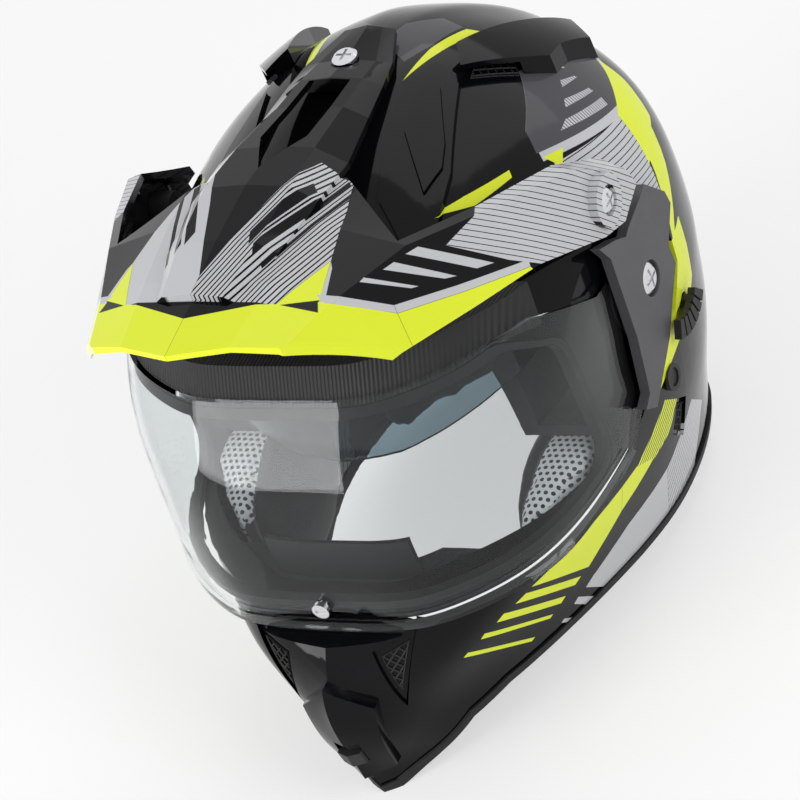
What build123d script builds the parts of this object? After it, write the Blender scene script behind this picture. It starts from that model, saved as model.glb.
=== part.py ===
from build123d import *
import math
import os

# Overall sizes in millimetres. The helmet faces -Y, the wearer's left is +X,
# it stands on z = 0, and the clear visor turns about y = 0.
shell_height = 262.0
chin_reach = 194.0
rear_reach = 146.0
shell_half_width = 121.5
shell_wall = 4.0
pivot_height = 150.0
seat_gap = 0.3
soft_gap = 1.0
running_play = 0.06
overrun = 60.0
quarter_steps = 4
nose_power = 1.9

# Shell levels: height, chin reach, rear reach, half width, widest place,
# roundness of the front and rear quarters, and extra front wall.
shell_level_shares = [
    (-0.09, 0.945, 0.730, 0.680, 0.00, 1.45, 2.15, 0.0),
    (0.00, 0.962, 0.772, 0.742, 0.00, 1.47, 2.15, 0.0),
    (0.10, 0.985, 0.820, 0.810, 0.00, 1.50, 2.15, 0.0),
    (0.20, 1.000, 0.875, 0.875, 0.00, 1.58, 2.12, 0.2),
    (0.29, 0.968, 0.925, 0.930, 0.02, 1.80, 2.10, 3.0),
    (0.36, 0.890, 0.952, 0.960, 0.03, 2.08, 2.08, 4.2),
    (0.45, 0.795, 0.985, 0.988, 0.05, 2.40, 2.06, 0.8),
    (0.58, 0.760, 1.000, 1.000, 0.08, 2.45, 2.02, 0.0),
    (0.73, 0.676, 0.948, 0.935, 0.11, 2.25, 2.00, 0.0),
    (0.86, 0.530, 0.765, 0.700, 0.13, 2.12, 2.00, 0.0),
    (0.945, 0.340, 0.555, 0.430, 0.14, 2.05, 2.00, 0.0),
    (0.985, 0.130, 0.360, 0.240, 0.14, 2.00, 2.00, 0.0),
    (1.0, -0.055, 0.215, 0.085, 0.13, 2.00, 2.00, 0.0),
]
open_levels = 9

# Temple walls, flat beside the visor's wings and leaning in to the eye port.
temple_face = 112.3
temple_lean = 3.4
temple_wall = 6.0
temple_shares = [(2.0, -2.26), (2.26, 0.0), (2.0, 2.17), (-0.52, 2.78)]
fan_shares = [
    (-2.43, -2.50), (-1.68, -2.12), (-0.80, -1.35), (0.43, -1.26), (1.17, -0.61),
    (1.30, 0.26), (0.96, 1.09), (0.17, 1.57), (-0.52, 1.74),
]

# Sculpted fields of the crown and side, half plan or side view, and recesses.
crown_field_rise = 2.0
crown_field_points = [
    (38.0, -52.0), (45.0, -60.0), (58.0, -76.0), (64.0, -58.0), (62.5, -28.0), (50.0, 26.0), (38.0, 30.0),
    (31.0, 12.0), (33.0, -20.0),
]
crown_diamond_rise = 3.2
crown_diamond_points = [(39.5, -15.0), (46.0, 14.0), (57.0, -15.0), (59.5, -28.0), (56.0, -43.0)]
side_recess_depth = 2.0
side_recess_points = [(-8.0, 81.0), (2.0, 73.0), (-4.0, 53.0), (-16.0, 65.0)]
chin_recess_points = [(22.0, 84.0), (43.0, 90.0), (28.0, 50.0)]
button_place = (-10.0, 97.0)
button_radius = 6.5
button_face = 118.8
button_dish_radius = 4.4
button_dish_depth = 0.8

# Vents on the crown's rear, in half plan.
top_vent_rise = 6.5
top_vent_roof = 1.8
top_vent_points = [
    (45.0, 41.0), (52.0, 27.0), (72.0, 50.0), (78.0, 58.0), (77.0, 71.0), (80.0, 91.0), (66.0, 103.0),
    (59.0, 80.0),
]
top_vent_mouth_points = [(49.0, 41.0), (50.5, 24.0), (71.0, 44.0), (62.0, 57.0)]

# Lower rim of the shell from the side: chin, jaw, ear and nape.
rim_height = 22.0
rim_bead = 4.5
rim_overhang = 1.4
rim_line_shares = [
    (-1.06, 0.0), (-0.945, 0.0), (-0.88, 0.36), (-0.80, 0.86), (-0.70, 1.0), (-0.50, 0.92),
    (-0.25, 0.78), (0.0, 0.72), (0.26, 0.62), (0.42, 0.30), (0.53, 0.0), (0.85, 0.0),
]

# Eye port, with its gasket and the brow piece above it.
port_bottom = 100.0
port_top = 198.0
port_side = 64.0
port_brow_run = 30.0
port_brow_drop = 24.0
port_corner = 14.0
gasket_band = 4.5
gasket_depth = 6.0
gasket_gap = 1.0
ledge_depth = 7.5
brow_shares = [(-0.354, 0.949), (-0.313, 1.04), (-0.495, 1.081), (-0.98, 1.081)]

# Clear visor: levels with height, reach and half width, and its side outline.
visor_reach = 168.0
visor_half_width = 116.0
visor_thickness = 2.2
visor_power = 2.9
visor_hub_radius = 23.0
visor_bottom = 88.0
visor_top = 203.0
visor_gap = 1.3
visor_lip_rise = 1.4
visor_lip_end = -60.0
visor_lip_height = 5.0
latch_rise = 103.0
latch_radius = 4.2
latch_hole = 2.4
latch_head = 2.6
latch_lean = 0.5
visor_level_shares = [
    (0.45, 0.985, 1.0), (0.60, 0.993, 1.0), (0.75, 0.992, 1.0), (1.0, 0.952, 1.0),
    (1.17, 0.900, 1.0), (1.32, 0.828, 0.965), (1.48, 0.735, 0.915), (1.66, 0.61, 0.84),
]
visor_edge_shares = [
    (-5.13, -2.61), (-2.43, -2.39), (-1.74, -2.0), (-0.52, -0.96), (0.26, -0.96), (0.87, -0.61),
    (1.04, 0.0), (0.87, 0.61), (0.26, 1.0), (-0.61, 0.92), (-1.60, 1.0), (-3.30, 2.02), (-4.35, 2.25),
]

# Pivot stack on each temple, from the shell outwards.
well_floor = 110.0
baseplate_radius = 26.7
baseplate_thickness = 2.5
baseplate_floor = 2.0
journal_radius = 9.0
plate_inner = 116.6
plate_thickness = 5.0
plate_width = 92.0
plate_height = 116.0
plate_shares = [
    (-0.587, 0.595), (-0.38, 0.483), (-0.26, 0.293), (-0.315, -0.086), (-0.402, -0.319),
    (-0.489, -0.345), (-0.391, -0.405), (-0.043, -0.276), (0.109, -0.181), (0.25, -0.103),
    (0.25, -0.009), (0.413, 0.103), (0.402, 0.172), (0.261, 0.31), (0.087, 0.31),
    (-0.065, 0.267), (-0.239, 0.362),
]
screw_shank = 2.8
screw_head = 2.8
visor_screw_radius = 7.9
head_recess = 0.7
cross_slot = 1.5
cross_length_share = 1.3
screw_rim_share = 0.35
screw_dome_share = 0.8
screw_dome_radius_share = 0.7

# Peak: blade stations with place and four section points, plan and arms.
peak_front = 184.0
peak_arm_end = 24.0
peak_half_width = 121.0
peak_rise = 130.0
peak_wall = 3.0
peak_pivot_back = -9.0
peak_pivot_rise = 56.0
peak_boss_radius = 12.5
peak_boss_depth = 5.6
peak_arm_inner = 117.5
peak_screw_radius = 6.2
spacer_radius = 8.0
crown_screw_back = 19.0
crown_screw_travel = 5.0
crown_slot_play = 1.4
crown_screw_depth = 5.0
crown_chamfer = 1.2
blade_station_shares = [
    (-0.030, 0.970, 0.215, 0.950, 0.415, 0.900, 0.640, 0.690),
    (0.058, 0.980, 0.230, 0.958, 0.405, 0.908, 0.630, 0.692),
    (0.220, 0.996, 0.265, 0.972, 0.495, 0.892, 0.672, 0.654),
    (0.413, 0.990, 0.330, 0.950, 0.636, 0.854, 0.826, 0.585),
    (0.587, 0.960, 0.380, 0.912, 0.802, 0.754, 0.925, 0.508),
    (0.793, 0.862, 0.496, 0.800, 0.967, 0.640, 0.996, 0.330),
    (1.030, 0.770, 0.579, 0.660, 1.000, 0.300, 1.004, 0.180),
]
blade_plan_shares = [
    (0.0, -1.0), (0.395, -0.925), (0.675, -0.750), (0.80, -0.58), (1.10, -0.30),
    (1.10, 0.14), (0.90, 0.14), (0.90, -0.10), (0.765, -0.325), (0.600, -0.525),
    (0.300, -0.345), (0.0, -0.345),
]
arm_under_shares = [(0.32, -1.72), (2.4, -1.24), (5.52, -2.88), (5.52, -8.48), (-0.88, -8.48)]
arm_back_shares = [(2.32, -1.28), (1.68, 1.52), (3.12, 4.32), (7.12, 4.32), (7.12, -4.48)]
arm_room_shares = [(-6.48, 3.12), (-4.56, 0.60), (0.32, -1.92), (3.92, -1.44), (3.92, 2.72)]

# Hollow spine of the peak: place, top and base half widths, top and base.
spine_station_shares = [
    (-0.820, 0.130, 0.190, 1.012, 0.955),
    (-0.650, 0.165, 0.235, 1.035, 0.975),
    (-0.460, 0.185, 0.270, 1.045, 0.965),
    (-0.300, 0.170, 0.280, 1.020, 0.935),
    (-0.110, 0.145, 0.230, 0.970, 0.905),
    (0.016, 0.135, 0.210, 0.945, 0.899),
    (0.105, 0.125, 0.190, 0.918, 0.893),
    (0.245, 0.060, 0.110, 0.908, 0.886),
]
spine_shoulder_share = 0.012
spine_opening_shares = [(0.0, -0.39), (0.10, -0.25), (0.09, 0.01), (-0.09, 0.01), (-0.10, -0.25)]

# Tinted sun visor, on its own lower pivots, and the lever that moves it.
sun_pivot_back = 12.0
sun_pivot_height = 136.0
sun_radius = 120.0
sun_half_width = 99.0
sun_power = 2.2
sun_thickness = 2.0
sun_travel = 40.0
sun_low_turn = -5.0
sun_high_turn = 36.0
sun_turn_play = 8.0
sun_edge_back = -40.0
sun_edge_shares = [(0.0, 0.01), (0.303, 0.04), (0.818, 0.172), (1.212, 0.424)]
sun_hub_radius = 11.0
sun_hub_room = 3.0
sun_pin_radius = 4.0
sun_pin_flange = 7.0
sun_pin_depth = 5.0
sun_pocket = 3.0
lever_ratio = 0.6
lever_radius = 21.0
lever_stem = 3.2
lever_washer = 2.0
lever_washer_depth = 2.5
lever_play = 1.0
lever_plate_play = 2.4
lever_turn = -66.0
lever_pad_low = 17.5
lever_pad_high = 26.5
lever_pad_front = -125.0
lever_pad_back = -50.0
lever_pad_gap = 0.8
lever_pad_depth = 3.7
lever_groove = 1.2
lever_groove_depth = 1.1
lever_grooves = 6

# Room for the head, and the foam round it.
head_half_width = 84.0
head_front = 100.0
head_rear = 122.0
head_height = 232.0
head_front_power = 2.3
head_rear_power = 2.2
head_level_shares = [
    (-0.05, 0.93, 0.86, 0.90), (0.25, 0.96, 0.93, 0.97), (0.50, 1.0, 1.0, 1.0),
    (0.70, 0.97, 0.98, 0.96), (0.83, 0.85, 0.88, 0.84), (0.93, 0.60, 0.66, 0.60),
    (0.985, 0.28, 0.32, 0.28), (1.0, 0.10, 0.10, 0.10),
]
head_open_levels = 7
foam_edge_shares = [(-0.413, 0.747), (-0.133, 0.72), (0.187, 0.467), (0.40, 0.267), (1.41, 0.227)]
crown_room_radius = 8.0
crown_room_depth = 20.0
chin_foam_depth = 16.0
chin_foam_top = 96.0
chin_foam_back = 121.0
chin_foam_front_floor = 12.0
chin_foam_back_floor = 31.0

# Padding that the wearer touches.
crown_pad_gap = 0.6
crown_pad_depth = 9.0
crown_pad_half_width = 78.0
crown_pad_shares = [
    (-0.302, 0.884), (-0.129, 0.845), (0.259, 0.819), (0.543, 0.647), (0.543, 1.12), (-0.302, 1.12),
]
channel_width = 3.0
channel_depth = 2.0
crown_channel_pitch = 28.0
crown_channels = 4
cheek_pad_corner = 8.0
cheek_crown_radius = 99.0
cheek_crown_place = (160.0, -66.0, 76.0)
cheek_pad_shares = [
    (-0.793, 0.24), (-0.40, 0.20), (0.133, 0.20), (0.173, 0.44), (-0.12, 0.693), (-0.44, 0.72),
    (-0.793, 0.627),
]
neck_roll_depth = 15.0
neck_roll_shares = [
    (0.237, 0.092), (0.553, 0.039), (1.0, 0.039), (1.0, 0.204), (0.408, 0.237), (0.237, 0.368),
]

# Chin vent: cover, the slider that works it, and the breath guard above.
cover_height = 5.5
cover_roof = 1.6
cover_wall = 2.0
cover_shares = [(0.0, 0.392), (0.098, 0.309), (0.067, 0.093), (-0.067, 0.093), (-0.098, 0.309)]
slider_travel = 5.0
slider_low = 30.0
slider_button_height = 8.0
slider_button_half_width = 6.0
slider_button_rise = 7.5
slider_plate_half_width = 9.0
slider_plate_margin = 6.0
slider_plate_low = 1.7
slider_plate_high = 3.1
slider_play = 0.5
guard_inset = 25.0
guard_thickness = 2.0
guard_half_width = 38.0
guard_top = 118.0


def outline(z, half_width, front, rear, widest, front_power, rear_power):
    """A closed oval at one height, in four quarters with their own roundness."""
    edges = []
    for side in (1, -1):
        for end, power in ((-front, front_power), (rear, rear_power)):
            points = []
            for step in range(quarter_steps + 1):
                turn = math.pi / 2 * step / quarter_steps
                across = math.cos(turn) ** (2 / power) if step < quarter_steps else 0
                along = math.sin(turn) ** (2 / power)
                points.append((side * half_width * across, widest + (end - widest) * along, z))
            start = (0, math.copysign(1, end - widest), 0)
            finish = (-side, 0, 0)
            if power < nose_power:
                finish = (-side * nose_power, math.copysign(nose_power, end) / 2, 0)
            edges.append(Spline(points, tangents=[start, finish]))
    return Face(Wire(edges))


def shell_form(inset, front_wall=0, levels=len(shell_level_shares)):
    """The helmet's rounded form, drawn in by the inset on every side."""
    faces = []
    for height, front, rear, width, widest, front_power, rear_power, wall in shell_level_shares[:levels]:
        faces.append(outline(
            height * (shell_height - inset) - (inset if height < 0 else 0),
            shell_half_width * width - inset,
            chin_reach * front - inset - wall * front_wall,
            rear_reach * rear - inset,
            rear_reach * widest,
            front_power,
            rear_power,
        ))
    return loft(faces)


def visor_form(inset):
    """The visor's curved front, closed far behind with straight sides."""
    faces = []
    for height, front, width in visor_level_shares:
        faces.append(outline(
            height * pivot_height,
            visor_half_width * width - inset,
            visor_reach * front - inset,
            rear_reach + overrun,
            0,
            visor_power,
            visor_power,
        ))
    return loft(faces)


def head_form(inset, levels=len(head_level_shares)):
    """The room for the head, drawn in by the inset."""
    faces = []
    for height, front, rear, width in head_level_shares[:levels]:
        faces.append(outline(
            height * (head_height - inset),
            head_half_width * width - inset,
            head_front * front - inset,
            head_rear * rear - inset,
            sun_pivot_back,
            head_front_power,
            head_rear_power,
        ))
    return loft(faces)


def side_points(shares, scale, lift=0, back=0):
    """Side view places (y, z) from shares of one size."""
    return [(back + scale * y, lift + scale * z) for y, z in shares]


def side_block(points, near, far, corner=0):
    """A side view outline of (y, z) points, carried from x near to x far."""
    places = [(near, y, z) for y, z in points]
    line = Polyline(*places, close=True)
    if corner:
        line = FilletPolyline(*places, radius=corner, close=True)
    return extrude(Face(Wire(line.edges())), amount=far - near, dir=(1, 0, 0))


def front_block(points, near, far, inset=0):
    """A front view outline of (x, z) points, carried from y near to y far."""
    face = Face(Wire(Polyline(*[(x, near, z) for x, z in points], close=True).edges()))
    if inset:
        face = offset(face, amount=-inset, kind=Kind.INTERSECTION).face()
    return extrude(face, amount=far - near, dir=(0, 1, 0))


def plan_block(points, low, high):
    """A plan outline of (x, y) points, carried from z low to z high."""
    line = Polyline(*[(x, y, low) for x, y in points], close=True)
    return extrude(Face(Wire(line.edges())), amount=high - low, dir=(0, 0, 1))


def cross_disc(radius, near, far, y, z):
    """A disc or pin along X from near to far."""
    return Pos(near, y, z) * extrude(Plane.YZ * Circle(radius), amount=far - near)


def upright_disc(radius, low, high, y):
    """A disc or pin along Z from low to high."""
    return Pos(0, y, low) * extrude(Plane.XY * Circle(radius), amount=high - low)


def front_disc(radius, near, far, z):
    """A disc or pin along Y from near to far."""
    return Pos(0, far, z) * extrude(Plane.XZ * Circle(radius), amount=far - near)


def turned(profile, y, z):
    """A solid turned round an axis along X, from (x, radius) points."""
    line = Polyline(*[(x, radius, 0) for x, radius in profile], close=True)
    return Pos(0, y, z) * revolve(Face(Wire(line.edges())), Axis.X)


def both_sides(shape):
    """The shape and its mirror image across the helmet's middle."""
    return [shape, mirror(shape, about=Plane.YZ)]


def cut_all(shape, tools):
    """The shape with every tool cut out of it."""
    for tool in tools:
        shape = shape - tool
    return shape


def write(node, shape):
    """One STEP file holding a sub-part."""
    export_step(shape.solids()[0], f"parts/{node}.step")


def write_pair(node, shape):
    """The left piece as modelled and the right one as its mirror image."""
    for name, item in zip(("left", "right"), both_sides(shape)):
        write(f"{node}_{name}", item)


os.makedirs("parts", exist_ok=True)
far_side = shell_half_width + overrun
far_front = -chin_reach - overrun
sky = shell_height + overrun
temple_inner = temple_face - temple_wall
plate_outer = plate_inner + plate_thickness
pivot = (0, pivot_height)
sun_pivot = (sun_pivot_back, sun_pivot_height)
peak_pivot = (peak_pivot_back, pivot_height + peak_pivot_rise)

# Side view outlines that several pieces share.
rim_line = [(chin_reach * y, rim_bead + rim_height * z) for y, z in rim_line_shares]
port_outline = [
    (far_front, port_bottom), (-port_side, port_bottom), (-port_side, port_top - port_brow_drop),
    (-port_side - port_brow_run, port_top), (far_front, port_top),
]
front_corners = [(far_front, shell_height), (far_front, visor_bottom)]
fan_outline = [front_corners[1], *side_points(fan_shares, visor_hub_radius, pivot_height), front_corners[0]]
temple_outline = [
    (far_front, visor_bottom - shell_wall), (-port_side, visor_bottom - shell_wall),
    *side_points(temple_shares, visor_hub_radius, pivot_height), front_corners[0],
]
plate_outline = [(plate_width * y, pivot_height + plate_height * z) for y, z in plate_shares]


def temple_tool(side_outline, face):
    """What lies outside a temple wall that leans in towards the port."""
    plan = [
        (face - temple_lean, -rear_reach), (face - temple_lean, -port_side), (face, -visor_hub_radius),
        (face, rear_reach), (far_side, rear_reach), (far_side, -rear_reach),
    ]
    return plan_block(plan, 0, sky) & side_block(side_outline, 0, far_side)


def beyond(line, height):
    """Everything between the rim line and a level height."""
    return side_block(line + [(line[-1][0], height), (line[0][0], height)], -far_side, far_side)


def lever_slot(play, near, far):
    """The arc that the lever's stem sweeps round the sun visor's axis."""
    slot = None
    for step in range(quarter_steps + 1):
        turn = math.radians(lever_turn - lever_ratio * sun_travel * step / quarter_steps)
        y = sun_pivot_back + lever_radius * math.cos(turn)
        z = sun_pivot_height + lever_radius * math.sin(turn)
        disc = cross_disc(lever_stem + play, near, far, y, z)
        slot = slot + disc if slot else disc
    return slot


# Outer shell with its eye port, visor ledge, temple walls and screw places
cavity = cut_all(shell_form(shell_wall, shell_wall), both_sides(temple_tool(temple_outline, temple_inner)))
port_room = side_block(port_outline, -far_side, far_side, port_corner)
ledge_front = -visor_reach + ledge_depth
ledge = plan_block(
    [(-overrun, far_front), (overrun, far_front), (overrun, ledge_front), (-overrun, ledge_front)],
    visor_bottom, pivot_height)
shell = shell_form(0)
for points, rise in ((crown_field_points, crown_field_rise), (crown_diamond_points, crown_diamond_rise)):
    field = shell_form(-rise) & plan_block(points, pivot_height, sky)
    for side in both_sides(field):
        shell = shell + side
shell = shell - beyond(rim_line, -overrun) - cavity - port_room - ledge
recess_floor = shell_form(side_recess_depth)
side_recess = side_block(side_recess_points, 0, far_side) - recess_floor
chin_recess = front_block(chin_recess_points, far_front, -chin_foam_back) - recess_floor
shell = cut_all(shell, both_sides(side_recess) + both_sides(chin_recess))
shell = cut_all(shell, both_sides(temple_tool(fan_outline, temple_face)))
well = cross_disc(baseplate_radius + seat_gap, well_floor, far_side, *pivot)
plate_seat = side_block(plate_outline, plate_inner - seat_gap, far_side)
shell = cut_all(shell, both_sides(well) + both_sides(plate_seat))
shell = shell - lever_slot(lever_play, temple_inner - temple_wall, far_side)
crown_slot_floor = shell_height - crown_room_depth
for back in (crown_screw_back, crown_screw_back - crown_screw_travel):
    shell = shell - upright_disc(screw_shank + crown_slot_play, crown_slot_floor, sky, back)
shell = cut_all(shell, both_sides(cross_disc(screw_shank + seat_gap, temple_inner, far_side, *pivot)))
shell = cut_all(shell, both_sides(cross_disc(screw_shank + seat_gap, temple_inner, far_side, *peak_pivot)))
write("outer_shell", shell)

# Vents on the crown's rear, hollow behind their mouths, and the side buttons
vent = (shell_form(-top_vent_rise) & plan_block(top_vent_points, pivot_height, sky)) - shell_form(-seat_gap)
mouth = shell_form(top_vent_roof - top_vent_rise) & plan_block(top_vent_mouth_points, pivot_height, sky)
write_pair("top_vent", vent - mouth)
button = turned([
    (temple_inner, 0), (temple_inner, button_radius), (button_face, button_radius),
    (button_face, button_dish_radius), (button_face - button_dish_depth, button_dish_radius),
    (button_face - button_dish_depth, 0)], *button_place)
write_pair("side_button", button - shell_form(-seat_gap))

# Bead along the shell's lower edge, with a flat foot at the nape and chin
foot_line = [(y, z - rim_bead) for y, z in rim_line]
rim_trim = shell_form(-rim_overhang) - beyond(rim_line, sky) - beyond(foot_line, -overrun)
rim_trim = rim_trim - shell_form(shell_wall + rim_overhang, shell_wall)
write("rim_trim", rim_trim)

# Clear visor
visor_outline = [
    (far_front, visor_bottom + seat_gap), *side_points(visor_edge_shares, visor_hub_radius, pivot_height),
    (far_front, visor_top),
]
visor = (visor_form(0) - visor_form(visor_thickness)) & side_block(visor_outline, -far_side, far_side)
visor_lip = (visor_form(-visor_lip_rise) - visor_form(seat_gap)) & side_block([
    (far_front, visor_bottom + seat_gap), visor_outline[1], visor_outline[2],
    (visor_lip_end, visor_outline[2][1] + visor_lip_height), (far_front, visor_bottom + visor_lip_height),
], -far_side, far_side)
visor = visor + visor_lip
visor = visor - front_disc(latch_hole + running_play, far_front, -visor_half_width, latch_rise)
visor = cut_all(visor, both_sides(cross_disc(journal_radius + running_play, temple_inner, far_side, *pivot)))
write("visor", visor)

# Latch pin through the visor's lower edge
lip_face = -visor_reach * visor_level_shares[1][1]
latch_seat = lip_face - seat_gap - latch_lean
latch_pin = front_disc(latch_radius, latch_seat - latch_head, latch_seat, latch_rise)
latch_pin = latch_pin + front_disc(
    latch_hole, latch_seat, lip_face + visor_thickness + seat_gap, latch_rise)
latch_pin = latch_pin - Pos(0, latch_seat - latch_head, latch_rise) * Box(
    latch_radius * cross_length_share, 2 * head_recess, cross_slot)
write("visor_latch_pin", latch_pin)

# Base plates with the journals that the visor turns on
plate_seat_x = well_floor + seat_gap
baseplate = cross_disc(baseplate_radius, plate_seat_x, plate_seat_x + baseplate_thickness, *pivot)
baseplate = baseplate + cross_disc(journal_radius, plate_seat_x, plate_inner - seat_gap, *pivot)
baseplate = baseplate - cross_disc(screw_shank + running_play, 0, far_side, *pivot)
write_pair("visor_baseplate", baseplate)

# Side plates, clear of the peak's arms and the lever's stem
screw_recess = cross_disc(visor_screw_radius + head_recess, plate_outer - screw_head, far_side, *pivot)
side_plate = side_block(plate_outline, plate_inner, plate_outer) - screw_recess
side_plate = side_plate - cross_disc(screw_shank + running_play, 0, far_side, *pivot)
side_plate = side_plate - lever_slot(lever_plate_play, 0, far_side)
side_plate = side_plate - side_block(
    side_points(arm_room_shares, peak_boss_radius, peak_pivot[1], peak_pivot_back), 0, far_side)
write_pair("side_plate", max(side_plate.solids(), key=lambda item: item.volume))


def side_screw(shank_from, head_from, head_radius, y, z):
    """A round-headed screw with a cross slot, along X."""
    crown = head_from + screw_head
    body = turned([
        (shank_from, 0), (shank_from, screw_shank), (head_from, screw_shank), (head_from, head_radius),
        (head_from + screw_head * screw_rim_share, head_radius),
        (head_from + screw_head * screw_dome_share, head_radius * screw_dome_radius_share), (crown, 0),
    ], y, z)
    length = head_radius * cross_length_share
    for tall, deep in ((length, cross_slot), (cross_slot, length)):
        body = body - Pos(crown, y, z) * Box(screw_head, deep, tall)
    return body


write_pair("visor_screw", side_screw(
    plate_seat_x + baseplate_floor, plate_outer - screw_head + seat_gap, visor_screw_radius, *pivot))

# Peak: faceted blade with side arms, and a hollow air spine along its middle


def peak_place(x_share, rise_share):
    """A point of the peak's section as x and z."""
    return peak_half_width * x_share, pivot_height + peak_rise * rise_share


def section(y, top, low):
    """A closed section across the peak, from its right half's two lines."""
    ring = [(-x, y, z) for x, z in reversed(top[1:])] + [(x, y, z) for x, z in top]
    ring += [(x, y, z) for x, z in reversed(low)] + [(-x, y, z) for x, z in low if x > 0]
    return Face(Wire(Polyline(*ring, close=True).edges()))


def spine_form(stations, wall):
    """The spine's body, drawn in by a wall."""
    faces = []
    for along, top_x, base_x, top_z, base_z in stations:
        middle = peak_place(0, top_z)
        shoulder = peak_place(top_x, top_z - spine_shoulder_share)
        foot = peak_place(base_x, base_z)
        top = [
            (0, middle[1] - wall), (shoulder[0] - wall, shoulder[1] - wall),
            (foot[0] - wall, foot[1] - wall)]
        low = [(foot[0] - wall, foot[1] - peak_wall - wall)]
        faces.append(section(peak_front * along, top, low))
    return loft(faces, ruled=True)


blade_faces = []
for along, centre_z, mid_x, mid_z, crease_x, crease_z, edge_x, edge_z in blade_station_shares:
    top = [peak_place(0, centre_z), peak_place(mid_x, mid_z), peak_place(crease_x, crease_z),
           peak_place(edge_x, edge_z)]
    low = [(top[0][0], top[0][1] - peak_wall), (top[1][0], top[1][1] - peak_wall),
           (top[2][0] - peak_wall, top[2][1] - peak_wall), (top[3][0] - peak_wall, top[3][1] - peak_wall / 2)]
    blade_faces.append(section(-peak_front + (peak_front + peak_arm_end) * along, top, low))
half_plan = [(peak_half_width * x, peak_front * y) for x, y in blade_plan_shares]
plan = half_plan + [(-x, y) for x, y in reversed(half_plan[1:-1])]
blade = loft(blade_faces, ruled=True) & plan_block(plan, 0, sky)
for shares in (arm_under_shares, arm_back_shares):
    blade = blade - side_block(
        side_points(shares, peak_boss_radius, peak_pivot[1], peak_pivot_back), -far_side, far_side)
peak = blade + spine_form(spine_station_shares, 0)
peak = peak - spine_form(spine_station_shares[:-2], peak_wall)
spine_opening = [(peak_half_width * x, peak_front * y) for x, y in spine_opening_shares]
peak = peak - plan_block(spine_opening, shell_height, sky)
peak = cut_all(peak, both_sides(cross_disc(peak_boss_radius + soft_gap, 0, peak_arm_inner, *peak_pivot)))
for boss in both_sides(
        cross_disc(peak_boss_radius, peak_arm_inner, peak_arm_inner + peak_boss_depth, *peak_pivot)):
    peak = peak + boss
dish = cross_disc(peak_screw_radius + soft_gap, peak_arm_inner + peak_wall, far_side, *peak_pivot)
peak = cut_all(peak, both_sides(dish) + both_sides(
    cross_disc(screw_shank + running_play, 0, far_side, *peak_pivot)))
peak = peak - upright_disc(screw_shank + running_play, 0, sky, crown_screw_back)
tab_top = peak_place(0, spine_station_shares[-2][3])[1]
peak = peak - upright_disc(peak_screw_radius + soft_gap, tab_top, sky, crown_screw_back)
write("peak", peak)

# Spacers and screws that carry the peak
spacer = cross_disc(spacer_radius, temple_inner, peak_arm_inner - seat_gap, *peak_pivot)
spacer = spacer - shell_form(-seat_gap)
spacer = spacer - cross_disc(screw_shank + running_play, 0, far_side, *peak_pivot)
write_pair("peak_spacer", spacer)
write_pair("peak_screw", side_screw(
    temple_face - baseplate_floor, peak_arm_inner + peak_wall + seat_gap, peak_screw_radius, *peak_pivot))
crown_head = upright_disc(
    peak_screw_radius, tab_top + seat_gap, tab_top + seat_gap + screw_head, crown_screw_back)
crown_head = chamfer(crown_head.edges().group_by(Axis.Z)[-1], crown_chamfer)
crown_screw = crown_head + upright_disc(
    screw_shank, shell_height - crown_screw_depth, tab_top + screw_head, crown_screw_back)
cross_length = peak_screw_radius * cross_length_share
for wide, deep in ((cross_length, cross_slot), (cross_slot, cross_length)):
    crown_screw = crown_screw - Pos(0, crown_screw_back, tab_top + screw_head) * Box(wide, deep, screw_head)
write("peak_crown_screw", crown_screw)

# Sun visor, a curved shield swept round its own axis


def sun_form(inset):
    """The solid that the sun visor's curve sweeps round its axis."""
    right = []
    for step in range(2 * quarter_steps):
        turn = math.pi / 4 * step / quarter_steps
        right.append((
            (sun_half_width - inset) * math.sin(turn) ** (2 / sun_power),
            (sun_radius - inset) * math.cos(turn) ** (2 / sun_power), 0))
    right.append((sun_half_width - inset, 0, 0))
    left = [(-x, radius, 0) for x, radius, _ in reversed(right[1:])]
    closing = Line(right[-1], left[0])
    return Pos(0, *sun_pivot) * revolve(Face(Wire([Spline(left + right), closing])), Axis.X)


def sun_sector(low_turn, high_turn):
    """A wedge round the sun visor's axis, between two turns above the level."""
    points = [sun_pivot]
    for step in range(quarter_steps + 1):
        turn = math.radians(low_turn + (high_turn - low_turn) * step / quarter_steps)
        points.append((sun_pivot_back - 2 * sun_radius * math.cos(turn),
                       sun_pivot_height + 2 * sun_radius * math.sin(turn)))
    return side_block(points, -far_side, far_side)


half_edge = [(sun_half_width * x, sun_pivot_height + sun_half_width * z) for x, z in sun_edge_shares]
sun_edge = [(-x, z) for x, z in reversed(half_edge[1:])] + half_edge
sun_edge += [(half_edge[-1][0], 0), (-half_edge[-1][0], 0)]
sun_visor = (sun_form(0) - sun_form(sun_thickness)) & sun_sector(sun_low_turn, sun_high_turn)
sun_visor = sun_visor - front_block(sun_edge, far_front, sun_edge_back)
for hub in both_sides(cross_disc(
        sun_hub_radius, sun_half_width - sun_thickness - seat_gap, sun_half_width, *sun_pivot)):
    sun_visor = sun_visor + hub
sun_visor = cut_all(sun_visor, both_sides(cross_disc(sun_pin_radius + running_play, 0, far_side, *sun_pivot)))
write("sun_visor", sun_visor)
sun_pin = turned([
    (sun_half_width - sun_pin_depth, 0), (sun_half_width - sun_pin_depth, sun_pin_radius),
    (sun_half_width + seat_gap, sun_pin_radius), (sun_half_width + seat_gap, sun_pin_flange),
    (temple_inner - seat_gap, sun_pin_flange), (temple_inner - seat_gap, 0)], *sun_pivot)
write_pair("sun_visor_pin", sun_pin)

# Lever on the left temple: a ribbed arc on a stem through the shell


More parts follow.
